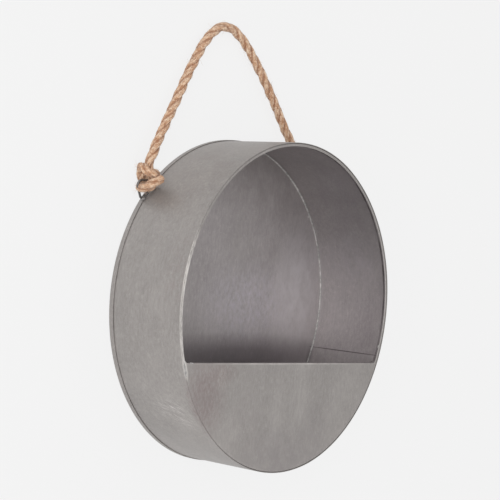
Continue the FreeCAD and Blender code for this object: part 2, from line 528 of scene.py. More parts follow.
@dataclass(frozen=True)
class ScuffAndPaintedLight:
    """Patch of the sheet, in millimetres: scratches, a stain of its own, painted light or painted shade.

    The patch is an ellipsoid round its middle that fades out at its reach. Inside it, a noise drawn
    out to the length and width of one mark shows where it is above a bar.
    """

    middle: Triple
    reach: Triple
    tone: Triple
    mark: Pair
    share: float
    bar: float
    soft: float = 0.14
    along: Triple = (0.0, 0.0, 1.0)

    def over(self, nodes: Nodes, base: Socket) -> Socket:
        """Lay the patch over a colour.

        Args:
            nodes: Nodes of the material.
            base: Colour below.

        Returns:
            Socket of the new colour.
        """
        middle = tuple(MM * value for value in self.middle)
        inside = nodes.framed(middle, self.along, tuple(MM * value for value in self.reach))
        fade = nodes.remap(nodes.length(inside), 0.3, 1.0, 1.0, 0.0)
        length, width = (MM * value for value in self.mark)
        pattern = nodes.noise(nodes.framed(middle, self.along, (length, width, width)), 1.0, 3, 0.65)
        shown = nodes.remap(pattern, self.bar, self.bar + self.soft, 0.0, self.share)
        return nodes.mix(nodes.maths("MULTIPLY", fade, shown), base, shade(*self.tone))


# Marks of handling on the sheet, and patches of painted light and shade. A patch's reach is given
# along its own direction, beside it and in depth, and its marks by length and width. The scratches
# low on the band run forward at a slant.
SLANT = (0.26, -0.91, -0.30)
BAND_SCUFFS_AND_PAINTED_LIGHT = (
    ScuffAndPaintedLight((-138, -68, -116), (34, 26, 26), (220, 215, 212), (12.0, 0.7), 0.75, 0.51, 0.14, SLANT),
    ScuffAndPaintedLight((-150, -50, -100), (44, 34, 34), (178, 174, 172), (8.0, 0.9), 0.4, 0.48, 0.3, SLANT),
    ScuffAndPaintedLight((-166, -4, 68), (9, 4, 4), (214, 208, 202), (1.5, 0.9), 0.8, 0.52),
    ScuffAndPaintedLight((-100, -55, 148), (60, 45, 45), (140, 130, 127), (26.0, 16.0), 0.5, 0.4, 0.4, (0, 1, 0)),
    ScuffAndPaintedLight((-172, -92, 30), (60, 30, 30), (142, 130, 128), (10.0, 4.0), 0.4, 0.42, 0.3),
    # Painted light: the band's lower left is lightened where light from below falls on it.
    ScuffAndPaintedLight((-60, -60, -170), (70, 50, 40), (176, 171, 168), (30.0, 20.0), 0.5, 0.3, 0.4, (1, 0, 0)),
)
PLATE_SCUFFS_AND_PAINTED_LIGHT = (
    ScuffAndPaintedLight((31, -0.8, 126), (20, 5, 6), (196, 192, 190), (3.5, 0.5), 0.6, 0.52, 0.14, (1.0, 0.0, 0.15)),
    ScuffAndPaintedLight((82, -0.8, 79), (30, 11, 6), (192, 188, 188), (2.4, 0.6), 0.55, 0.52, 0.14, (0.55, 0.0, -0.83)),
    ScuffAndPaintedLight((149, -0.8, 96), (20, 8, 6), (200, 196, 194), (8.0, 0.45), 0.6, 0.52, 0.14, (0.6, 0.0, -0.8)),
    ScuffAndPaintedLight((46, -0.8, -2), (56, 100, 8), (196, 190, 200), (8.0, 5.0), 0.65, 0.36, 0.34),
    # Painted light: the right side of the plate is lightened.
    ScuffAndPaintedLight((138, -0.8, 10), (110, 62, 8), (204, 200, 202), (24.0, 16.0), 0.8, 0.1, 0.5),
    # Painted shade: the top of the plate, under the band's overhang, is darkened.
    ScuffAndPaintedLight((40, -0.8, 150), (66, 150, 8), (146, 140, 138), (30.0, 22.0), 0.6, 0.25, 0.4),
    ScuffAndPaintedLight((20, -0.8, 60), (50, 40, 8), (150, 146, 142), (20.0, 14.0), 0.45, 0.35, 0.4),
    # Painted shade: the bottom of the plate, behind the pocket's front, is darkened.
    ScuffAndPaintedLight((40, -0.8, -64), (29, 230, 8), (118, 110, 114), (24.0, 30.0), 0.7, 0.1, 0.3),
)
INNER_BAND_SCUFFS_AND_PAINTED_LIGHT = (
    ScuffAndPaintedLight((102, -62, 147), (34, 28, 26), (190, 186, 188), (5.0, 1.2), 0.55, 0.46, 0.2, (0.62, 0.3, -0.7)),
    ScuffAndPaintedLight((158, -58, 82), (18, 18, 18), (186, 182, 184), (4.0, 1.2), 0.5, 0.46, 0.2, (0.4, 0.2, -0.9)),
    ScuffAndPaintedLight((179, -66, 8), (18, 16, 22), (184, 180, 182), (5.0, 1.2), 0.45, 0.46, 0.2),
    # Painted shade: the top of the band's inside is darkened.
    ScuffAndPaintedLight((110, -60, 145), (120, 90, 70), (150, 143, 146), (30, 20), 0.5, 0.25, 0.4, (0.7, 0, -0.7)),
    # Painted light: the band's inside is lightened on the right.
    ScuffAndPaintedLight((165, -50, 55), (40, 50, 60), (194, 188, 192), (20.0, 12.0), 0.5, 0.3, 0.4),
    # Painted shade: a dark line along the edge of the lap.
    ScuffAndPaintedLight((171.5, -50, -51.4), (90, 9, 0.8), (78, 72, 74), (30.0, 14.0), 0.8, 0.1, 0.3, (0, 1, 0)),
)
FRONT_SCUFFS = (
    ScuffAndPaintedLight((-132, -100, -96), (54, 40, 9), (140, 126, 125), (6.0, 3.5), 0.85, 0.26, 0.4),
    ScuffAndPaintedLight((-104, -100, -70), (14, 26, 7), (138, 122, 120), (5.0, 3.0), 0.6, 0.36, 0.3),
    ScuffAndPaintedLight((-108, -100, -76), (15, 9, 5), (196, 190, 186), (6.0, 0.7), 0.7, 0.5, 0.14),
    ScuffAndPaintedLight((-42, -100, -88), (28, 6, 5), (186, 181, 178), (10.0, 1.2), 0.5, 0.46, 0.2),
    ScuffAndPaintedLight((28, -100, -98), (58, 22, 7), (182, 177, 174), (26.0, 5.0), 0.55, 0.34, 0.4),
    ScuffAndPaintedLight((-12, -100, -124), (54, 18, 7), (176, 171, 169), (24.0, 5.0), 0.5, 0.36, 0.4),
    ScuffAndPaintedLight((92, -100, -96), (36, 22, 7), (178, 173, 170), (18.0, 5.0), 0.5, 0.36, 0.4),
    ScuffAndPaintedLight((60, -100, -134), (44, 40, 7), (140, 133, 134), (16.0, 9.0), 0.5, 0.34, 0.4),
    ScuffAndPaintedLight((-62, -100, -126), (44, 46, 7), (142, 136, 135), (20.0, 10.0), 0.5, 0.32, 0.4),
    ScuffAndPaintedLight((0, -100, -165), (40, 90, 7), (142, 136, 136), (20.0, 16.0), 0.6, 0.2, 0.4),
)

# Painted highlights on edges: the opening's left side, its lower left corner and the pocket's top.
PAINTED_EDGE_HIGHLIGHTS = (
    ScuffAndPaintedLight((-172.5, -100.3, 12), (130, 14, 1.2), (236, 232, 227), (8.0, 1.2), 0.9, 0.3, 0.3),
    ScuffAndPaintedLight((-165, -100.2, -66), (15, 4, 1.2), (234, 230, 225), (20, 10), 0.9, 0.1, 0.2, (0.37, 0, -0.93)),
    ScuffAndPaintedLight((0, -100, -60.6), (185, 1.5, 3), (204, 199, 195), (24.0, 8.0), 0.85, 0.3, 0.3, (1, 0, 0)),
)


@dataclass(frozen=True)
class DirtAndShadeLine:
    """Dark line round the drum's axis, of dirt or of painted shade, between two radii and two depths in
    millimetres.
    """

    radii: Pair
    depths: Pair
    tone: Triple
    share: float

    def over(self, nodes: Nodes, base: Socket) -> Socket:
        """Lay the line over a colour, in places fainter than in others.

        Args:
            nodes: Nodes of the material.
            base: Colour below.

        Returns:
            Socket of the new colour.
        """
        pattern = nodes.noise(nodes.place(), 45, 3, 0.6)
        share = nodes.remap(pattern, 0.3, 0.6, 0.4 * self.share, self.share)
        shown = nodes.maths("MULTIPLY", share, nodes.within(self.radii, self.depths))
        return nodes.mix(shown, base, shade(*self.tone))


# Painted shade in the turned edge of the opening and along the rear flange's edge, and dirt between front
# and band.
DIRT_AND_SHADE_LINES = (
    DirtAndShadeLine((175.2, 178.0), (95.0, 99.0), (84, 78, 78), 0.85),
    DirtAndShadeLine((178.6, 179.4), (98.6, 101.0), (112, 106, 103), 0.5),
    DirtAndShadeLine((179.6, 180.1), (5.0, 6.8), (104, 98, 96), 0.5),
)


@dataclass(frozen=True)
class ZincFinish:
    """Dull weathered zinc with scuffs and stains, and painted light and shade: lighter inside the drum.
    """

    outside: Triple = (161, 156, 153)
    # Painted light: the inside is a lighter tone than the outside, standing in for the light that fills
    # the drum.
    inside: Triple = (172, 166, 166)
    metallic: Pair = (0.4, 0.7)
    inner_radii: Pair = (-1.0, 179.6)
    inner_depths: Pair = (0.4, 99.6)

    def material(self, name: str, weather: Effect) -> Material:
        """Build the finish.

        Args:
            name: Name of the material.
            weather: Shared weathering.

        Returns:
            The material.
        """
        nodes = Finish(name)
        inside = nodes.within(self.inner_radii, self.inner_depths)
        tone = nodes.mix(inside, shade(*self.outside), shade(*self.inside))
        inputs = {"Place": nodes.place(), "Tone": tone, "Clouding": 0.8, "Rubbing": 1.0}
        worn = nodes.effect(weather, inputs).outputs
        base = indoors = worn["Color"]
        for mark in (*PLATE_SCUFFS_AND_PAINTED_LIGHT, *INNER_BAND_SCUFFS_AND_PAINTED_LIGHT):
            indoors = mark.over(nodes, indoors)
        for mark in (*BAND_SCUFFS_AND_PAINTED_LIGHT, *FRONT_SCUFFS):
            base = mark.over(nodes, base)
        base = nodes.mix(inside, base, indoors)
        for mark in (*DIRT_AND_SHADE_LINES, *PAINTED_EDGE_HIGHLIGHTS):
            base = mark.over(nodes, base)
        relief = {"Strength": 0.12, "Distance": 0.6 * MM, "Height": worn["Relief"]}
        metallic = nodes.remap(inside, 0, 1, *self.metallic)
        return nodes.metal(base, worn["Roughness"], metallic, relief)


@dataclass(frozen=True)
class MetalFinish:
    """Metal in blotches of two greys, with a relief of the same blotches.

    The blotches are given as scale, detail and roughness of their pattern, the limits are where one
    grey ends and the other starts, and the relief is its strength and its height in millimetres.
    """

    tone: Triple
    other_grey: float
    metallic: float
    blotches: Triple
    limits: Pair
    relief: Pair

    def material(self, name: str, weather: Effect) -> Material:
        """Build the finish.

        Args:
            name: Name of the material.
            weather: Shared weathering.

        Returns:
            The material.
        """
        nodes = Finish(name)
        blotches = nodes.noise(nodes.place(), *self.blotches)
        share = nodes.remap(blotches, *self.limits)
        tone = nodes.mix(share, shade(*self.tone), grey(self.other_grey, 2))
        inputs = {"Place": nodes.place(), "Tone": tone, "Clouding": 1.0, "Rubbing": 2.0}
        worn = nodes.effect(weather, inputs).outputs
        strength, height = self.relief
        relief = {"Strength": strength, "Distance": height * MM, "Height": blotches}
        return nodes.metal(worn["Color"], worn["Roughness"], self.metallic, relief)


# Solder left as it flowed, brighter than the sheet; the darker beads at the rings; and the rings.
SOLDER = MetalFinish((184, 180, 178), 150, 0.35, (260, 3, 0.5), (0.4, 0.6), (0.35, 0.6))
BEAD_SOLDER = replace(SOLDER, tone=(132, 128, 126))
WIRE = MetalFinish((106, 102, 100), 130, 0.6, (340, 3, 0.6), (0.42, 0.62), (0.2, 0.4))


@dataclass(frozen=True)
class JuteFinish:
    """Laid jute: pale and brown fibres that run along each strand, under a little fuzz."""

    pale: Triple = (242, 214, 186)
    tan: Triple = (212, 168, 134)
    brown: Triple = (158, 108, 78)
    dull: Triple = (196, 148, 114)
    shadow: Triple = (150, 98, 68)

    def material(self, name: str) -> Material:
        """Build the finish.

        The pattern follows each strand by its own marks: round it in turns, and along it in metres.

        Args:
            name: Name of the material.

        Returns:
            The material.
        """
        nodes = Finish(name)
        lay, groove = (nodes.add("UVMap", uv_map=layer).outputs[0] for layer in ("lay", "groove"))
        groove = nodes.add("SeparateXYZ", {0: groove}).outputs["X"]
        broad = nodes.noise(nodes.scaled(lay, (8, 120, 1)), 1, 2, 0.6)
        fine = nodes.noise(nodes.scaled(lay, (17, 190, 1)), 1, 3, 0.7)
        drift = nodes.noise(nodes.place(), 130, 3, 0.65)

        base = nodes.mix(nodes.remap(broad, 0.40, 0.60), shade(*self.tan), shade(*self.pale))
        base = nodes.mix(nodes.remap(drift, 0.48, 0.62, 0, 0.55), base, shade(*self.dull))
        base = nodes.mix(nodes.remap(fine, 0.52, 0.64, 0, 0.8), base, shade(*self.brown))
        base = nodes.mix(nodes.remap(groove, 0.16, 0.42, 0, 0.7), base, shade(*self.shadow))
        specks = nodes.noise(nodes.place(), 380, 3, 0.7)
        base = nodes.mix(nodes.remap(specks, 0.53, 0.64, 0, 0.55), base, shade(*self.brown))
        base = nodes.mix(nodes.remap(specks, 0.46, 0.36, 0, 0.6), base, shade(*self.pale))
        relief = nodes.maths("ADD", broad, nodes.maths("MULTIPLY", fine, 0.8))
        bump = nodes.add("Bump", {"Strength": 1.0, "Distance": 0.0012, "Height": relief})
        return nodes.shader(nodes.add("BsdfPrincipled", {
            "Base Color": base, "Roughness": 0.85, "Sheen Weight": 0.25, "Sheen Roughness": 0.5,
            "Specular IOR Level": 0.25, "Normal": bump.outputs[0],
        }))


# ------------------------------------------------------------------------------ camera and room
@dataclass
class PhotoCamera:
    """Camera of the photograph, fitted to the drum's edges and the rope."""

    place: Triple = (-1.258685, -1.086869, 0.054738)
    ahead: Triple = (0.76657503, 0.64214924, 0.00266119)
    up: Triple = (-0.05875218, 0.06600829, 0.99608789)
    focal_pixels: float = 1467.975
    frame_pixels: float = 500.0
    nearest: float = 0.05

    def build(self) -> None:
        """Make the camera and look through it."""
        data = bpy.data.cameras.new("photo_camera")
        data.lens = self.focal_pixels * data.sensor_width / self.frame_pixels
        data.clip_start = self.nearest
        camera = placed("photo_camera", data)
        ahead = Vector(self.ahead).normalized()
        right = ahead.cross(Vector(self.up)).normalized()
        turn = Matrix((right, right.cross(ahead), -ahead)).transposed()
        camera.matrix_world = Matrix.Translation(self.place) @ turn.to_4x4()
        bpy.context.scene.camera = camera


@dataclass
class Room:
    """White wall that the planter hangs on, pale floor well below it, and soft even light."""

    wall_half: float = 3.0
    wall_gap: float = 0.0012
    floor_level: float = -1.1
    wall_level: float = 244
    wall_shine: float = 0.9
    ambient: float = 0.62
    lamps: dict[str, tuple] = field(default_factory=lambda: {
        "window": ((-2.5, -1.7, 0.25), 1.8, 38.0),
        "fill": ((1.2, -2.8, -0.2), 1.6, 4.0),
    })

    def plane(self, name: str, corners: list[Triple], finish: Material) -> Piece:
        """Make a flat stage piece.

        Args:
            name: Name of the object.
            corners: Its four corners.
            finish: Its material.

        Returns:
            The object.
        """
        mesh = bpy.data.meshes.new(name)
        mesh.from_pydata(corners, [], [(0, 1, 2, 3)])
        mesh.materials.append(finish)
        piece = placed(name, mesh)
        return piece

    def paint(self) -> Material:
        """White paint that shows from its front only, so that the planter's back can be looked at.

        What is seen of it, in reflections too, is mostly its own even white under a faint shadow.
        """
        nodes = Finish("wall_paint")
        paint = nodes.add("BsdfDiffuse", {"Color": grey(self.wall_level)})
        shine = nodes.add("Emission", {"Color": grey(self.wall_level)})
        rays = nodes.add("LightPath").outputs
        seen = nodes.maths("MAXIMUM", rays["Is Camera Ray"], rays["Is Glossy Ray"])
        seen = nodes.maths("MAXIMUM", seen, rays["Is Transmission Ray"])
        share = nodes.maths("MULTIPLY", seen, self.wall_shine)
        front = nodes.add("MixShader", {0: share, 1: paint.outputs[0], 2: shine.outputs[0]})
        clear = nodes.add("BsdfTransparent")
        behind = nodes.add("NewGeometry").outputs["Backfacing"]
        both = nodes.add("MixShader", {0: behind, 1: front.outputs[0], 2: clear.outputs[0]})
        return nodes.shader(both)

    def lamp(self, name: str, place: Triple, size: float, power: float) -> None:
        """Hang a square soft lamp that looks at the drum's middle.

        Args:
            name: Name of the lamp.
            place: Its place.
            size: Its width.
            power: Its power, in watts.
        """
        data = bpy.data.lights.new(name, "AREA")
        data.size = size
        data.energy = power
        lamp = placed(name, data)
        lamp.location = place
        lamp.rotation_euler = (-Vector(place)).to_track_quat("-Z", "Y").to_euler()

    def build(self) -> None:
        """Make the wall, the floor, the lamps and the even light of the room."""
        half, back, low = self.wall_half, self.wall_gap, self.floor_level
        paint = self.paint()
        upright = [(-half, back, low), (half, back, low), (half, back, half), (-half, back, half)]
        wall = self.plane("wall", upright, paint)
        wall.visible_diffuse = False
        wall.visible_shadow = False
        near = -2 * half
        level = [(-half, near, low), (half, near, low), (half, back, low), (-half, back, low)]
        self.plane("floor", level, paint)
        for name, (place, size, power) in self.lamps.items():
            self.lamp(name, place, size, power)
        world = bpy.data.worlds.new("room_light")
        world.use_nodes = True
        background = world.node_tree.nodes["Background"]
        background.inputs["Color"].default_value = (1, 1, 1, 1)
        background.inputs["Strength"].default_value = self.ambient
        bpy.context.scene.world = world
        bpy.context.scene.view_settings.view_transform = "Standard"


# ------------------------------------------------------------------------------ rope
# Middle of the rope from the left knot, over its hook, to the right knot.
ROPE_ROUTE = (
    (-0.1535, -0.0145, 0.1430),
    (-0.1420, -0.0120, 0.1660),
    (-0.1180, -0.0100, 0.2095),
    (-0.0975, -0.0080, 0.2490),
    (-0.0720, -0.0065, 0.2895),
    (-0.0450, -0.0060, 0.3060),
    (-0.0160, -0.0060, 0.2970),
    (0.0170, -0.0075, 0.2665),
    (0.0500, -0.0090, 0.2290),
    (0.0770, -0.0105, 0.1935),
    (0.1060, -0.0120, 0.1680),
    (0.1330, -0.0140, 0.1440),
)

# Middle of the rope in a knot: outboard, forward and up from the middle of the ring's bar.
KNOT_ROUTE = (
    (-0.0005, 0.0062, 0.0060),
    (-0.0030, 0.0065, -0.0065),
    (-0.0025, -0.0065, -0.0065),
    (0.0060, -0.0060, 0.0100),
    (0.0110, 0.0015, 0.0155),
    (0.0120, 0.0110, 0.0080),
    (0.0000, 0.0130, 0.0075),
    (-0.0065, 0.0040, 0.0065),
    (-0.0045, -0.0060, 0.0020),
    (0.0045, -0.0065, -0.0075),
    (0.0095, 0.0040, -0.0085),
    (0.0060, 0.0140, -0.0035),
    (-0.0045, 0.0185, 0.0045),
)


def spline_points(name: str, route: list[Triple]) -> np.ndarray:
    """Points of the smooth curve that a route controls.

    Args:
        name: Name for the working curve.
        route: Control points.

    Returns:
        Points along the curve, as count x 3.
    """
    data = bpy.data.curves.new(name, "CURVE")
    data.dimensions = "3D"
    spline = data.splines.new("NURBS")
    spline.points.add(len(route) - 1)
    spline.points.foreach_set("co", np.column_stack([route, np.ones(len(route))]).ravel())
    spline.order_u = 3
    spline.use_endpoint_u = True
    spline.resolution_u = 24
    curve = bpy.data.objects.new(name, data)
    mesh = bpy.data.meshes.new_from_object(curve)
    points = np.empty(len(mesh.vertices) * 3)
    mesh.vertices.foreach_get("co", points)
    bpy.data.objects.remove(curve)
    bpy.data.curves.remove(data)
    bpy.data.meshes.remove(mesh)
    return points.reshape(-1, 3)


class Line:
    """Evenly spaced stations along a curve, each with its direction and two axes across it."""

    def __init__(self, points: np.ndarray, step: float) -> None:
        """Space the stations and carry the axes along without twist.

        Args:
            points: Points of the curve.
            step: Length between stations.
        """
        lengths = np.linalg.norm(np.diff(points, axis=0), axis=1)
        apart = lengths > SAME_PLACE
        points, lengths = points[np.concatenate([[True], apart])], lengths[apart]
        reached = np.concatenate([[0], np.cumsum(lengths)])
        self.at = np.linspace(0, reached[-1], int(reached[-1] / step) + 1)
        self.points = np.column_stack([np.interp(self.at, reached, axis) for axis in points.T])
        self.along = np.gradient(self.points, axis=0)
        self.along /= np.linalg.norm(self.along, axis=1, keepdims=True)
        directions = [Vector(direction) for direction in self.along]
        pairs = zip(directions, directions[1:])
        turns = [first.rotation_difference(second) for first, second in pairs]
        start = directions[0].to_track_quat("Z", "Y")
        carried = accumulate(turns, lambda done, turn: turn @ done, initial=start)
        axes = np.array([quaternion.to_matrix() for quaternion in carried])
        self.across, self.beside = axes[:, :, 0], axes[:, :, 1]

    def length(self) -> float:
        """Length of the whole curve."""
        return float(self.at[-1])


@dataclass
class HangingRope:
    """Three-strand rope, its two knots round the rings' bars, and its loose fibres."""

    thickness: float = 10 * MM
    knot_thickness: float = 9.0 * MM
    lay: float = 50 * MM
    strands: int = 3
    yarns: int = 7
    step: float = 0.8 * MM
    entry: float = 8 * MM
    bar: Triple = (0.1529, -0.0122245, 0.121803)
    around: int = 28
    fullness: float = 1.04
    strand_share: float = 0.64
    looseness: float = 0.07
    yarn_twist: float = 0.7
    tightening: Pair = (12 * MM, 20 * MM)
    cut_end: Triple = (0.0, 0.72, 0.95)
    hairs: int = 520
    hair: float = 0.16 * MM
    hair_length: Pair = (4, 11)
    hair_lift: Pair = (0.4, 2.4)
    hair_bow: float = 1.2
    hair_stray: float = 0.45
    worn_places: Pair = (262 * MM, 300 * MM)
    wall_room: float = 0.3 * MM
    seed: int = 11

    def knot_route(self, side: Side, before: np.ndarray, end: np.ndarray) -> list[Triple]:
        """Control points of a knot, from the end of the free rope to the cut end.

        Args:
            side: Side of the knot.
            before: Last point but one of the free rope's route.
            end: Last point of the free rope's route.

        Returns:
            Control points.
        """
        ahead = (end - before) / np.linalg.norm(end - before)
        signs = np.array([side.value, -1, 1])
        middle = np.array(self.bar) * np.array([side.value, 1, 1])
        return [tuple(end), tuple(end + ahead * self.entry), *(middle + np.array(KNOT_ROUTE) * signs)]

    def whole_line(self) -> tuple[Line, float, float, np.ndarray]:
        """Line of the whole rope from cut end to cut end.

        Returns:
            The line, where along it the free rope starts and ends, and the free rope's points.
        """
        route = np.array(ROPE_ROUTE)
        left = spline_points("left", self.knot_route(Side.LEFT, route[1], route[0]))
        free = spline_points("free", [tuple(point) for point in route])
        right = spline_points("right", self.knot_route(Side.RIGHT, route[-2], route[-1]))
        line = Line(np.vstack([left[::-1], free, right]), self.step)

        def size(points: np.ndarray) -> float:
            """Length along a row of points."""
            return float(np.linalg.norm(np.diff(points, axis=0), axis=1).sum())

        start = size(left)
        return line, start, start + size(free), free

    def strand(
        self, name: str, line: Line, chosen: slice, number: int, start: float, end: float
    ) -> Piece:
        """Surface of one strand along a part of the line.

        The strand's middle turns round the rope's, its section is a circle with a shallow ridge for
        each yarn, and the yarns turn the other way, so that they end up nearly along the rope. Packed
        strands flatten against each other, so the circles overlap a little. At a cut end the section
        closes to a point over two stations.

        Args:
            name: Name of the piece.
            line: Line of the whole rope.
            chosen: Stations to use.
            number: Which strand.
            start: Where the free rope starts.
            end: Where it ends.

        Returns:
            The strand.
        """
        at = line.at[chosen]
        before, over = self.tightening
        drawn = smooth_step((start + before - at) / over) + smooth_step((at - end + before) / over)
        thinner = (self.knot_thickness - self.thickness) * np.clip(drawn, 0, 1)
        size = (self.thickness + thinner) / 2 * self.fullness
        strand_size = size * self.strand_share
        turn = FULL_TURN * (at / self.lay + number / self.strands)
        loose = Ripple(self.looseness, (3, 5, 9, 17, 29), self.seed + number)
        swell = 1 + loose.at(at / self.lay * 2, at / 0.02)
        spread = (size - strand_size) * (1 + 1.2 * loose.at(at / self.lay * 2 + 5, at / 0.03))

        round_it = np.linspace(0, FULL_TURN, self.around + 1)[None, :]
        angle = turn[:, None] + round_it
        yarn = round_it + self.yarn_twist * turn[:, None]
        ridge = 0.97 + 0.09 * np.abs(np.cos(self.yarns / 2 * yarn))
        closing = np.ones(len(at))
        if chosen.start == 0:
            closing[:3] = self.cut_end
        if chosen.stop == len(line.at):
            closing[-3:] = self.cut_end[::-1]
        reach = (strand_size * swell * closing)[:, None] * ridge

        across, beside = line.across[chosen][:, None, :], line.beside[chosen][:, None, :]
        middle = line.points[chosen][:, None, :] + spread[:, None, None] * (
            np.cos(turn)[:, None, None] * across + np.sin(turn)[:, None, None] * beside
        )
        grid = middle + reach[..., None] * (
            np.cos(angle)[..., None] * across + np.sin(angle)[..., None] * beside
        )
        along = np.broadcast_to(at[:, None], angle.shape)
        lay = np.stack([yarn / FULL_TURN + number * 3.1, along], axis=-1)
        inward = np.broadcast_to((1 - np.cos(round_it)) / 2, angle.shape)
        return surface(name, grid, {"lay": lay, "groove": np.stack([inward, inward], axis=-1)})

    def fuzz(self, line: Line, start: float, end: float) -> Piece:
        """Loose fibres that stand off the rope, more of them at the knots and at two worn places.

        Each hair leaves the surface nearly along the rope, with its lift growing as the square of the
        way along it, and is a three-sided spindle with a point at both ends.

        Args:
            line: Line of the whole rope.
            start: Where the free rope starts.
            end: Where it ends.

        Returns:
            All hairs as one piece.
        """
        chance = np.random.default_rng(self.seed)
        places = np.concatenate([
            chance.uniform(0.004, line.length() - 0.004, self.hairs),
            chance.uniform(0.002, start, self.hairs // 3),
            chance.uniform(end, line.length() - 0.002, self.hairs // 3),
            *(chance.normal(start + place, 0.004, self.hairs // 16) for place in self.worn_places),
        ])
        count, rings, sides = len(places), 6, 3
        station = np.clip(np.searchsorted(line.at, places), 0, len(line.at) - 1)
        around = chance.uniform(0, FULL_TURN, count)[:, None]
        outward = np.cos(around) * line.across[station] + np.sin(around) * line.beside[station]
        round_it = np.cross(line.along[station], outward)
        way = np.sign(chance.uniform(-1, 1, count))[:, None] * line.along[station]
        way = way + chance.normal(0, self.hair_stray, count)[:, None] * round_it
        length = chance.uniform(*self.hair_length, count)[:, None] * MM
        lift = chance.uniform(*self.hair_lift, count)[:, None] * MM
        bow = chance.normal(0, self.hair_bow, count)[:, None] * MM
        base = line.points[station] + outward * self.thickness * 0.45

        share = np.linspace(0, 1, rings)[None, :, None]
        middle = base[:, None] + way[:, None] * length[:, None] * share
        middle = middle + outward[:, None] * lift[:, None] * share ** 2
        middle = middle + round_it[:, None] * bow[:, None] * share ** 2
        middle[..., 1] = np.minimum(middle[..., 1], -self.wall_room)
        width = self.hair / 2 * np.sqrt(np.sin(np.pi * share).clip(0))
        corner = np.linspace(0, FULL_TURN, sides, endpoint=False)[None, None, :, None]
        points = middle[:, :, None] + width[..., None] * (
            np.cos(corner) * outward[:, None, None] + np.sin(corner) * round_it[:, None, None]
        )

        index = np.arange(count * rings * sides).reshape(count, rings, sides)
        turned = np.roll(index, -1, axis=2)
        corners = [index[:, :-1], turned[:, :-1], turned[:, 1:], index[:, 1:]]
        faces = np.stack(corners, axis=-1).reshape(-1, 4)
        along = places[:, None, None] + 0.1 * share
        lay = np.stack(np.broadcast_arrays(around[:, :, None], along), axis=-1)
        lay = np.broadcast_to(lay, (count, rings, sides, 2)).reshape(-1, 2)
        marks = {"lay": lay, "groove": np.zeros_like(lay)}
        return solid("rope_fuzz", points.reshape(-1, 3), faces, marks)

    def build(self, finish: Material) -> None:
        """Make the free rope, both knots and the loose fibres.

        Args:
            finish: Material of the rope.
        """
        line, start, end, free = self.whole_line()
        first, last = np.searchsorted(line.at, [start, end])
        spans = {
            "left_knot": slice(0, first + 1),
            "rope_strands": slice(first, last + 1),
            "right_knot": slice(last, len(line.at)),
        }
        made = {}
        for name, chosen in spans.items():
            strands = [
                self.strand(f"{name}_{number}", line, chosen, number, start, end)
                for number in range(self.strands)
            ]
            made[name] = joined(name, strands)
            dress(made[name], finish, Body.LOOP)
        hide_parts("hanging_rope")
        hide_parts("rope_knots")
        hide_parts("rope_knots")
        hairs = self.fuzz(line, start, end)
        dress(hairs, finish, Body.LOOP)
        log.info("free rope: %.1f mm", (end - start) / MM)


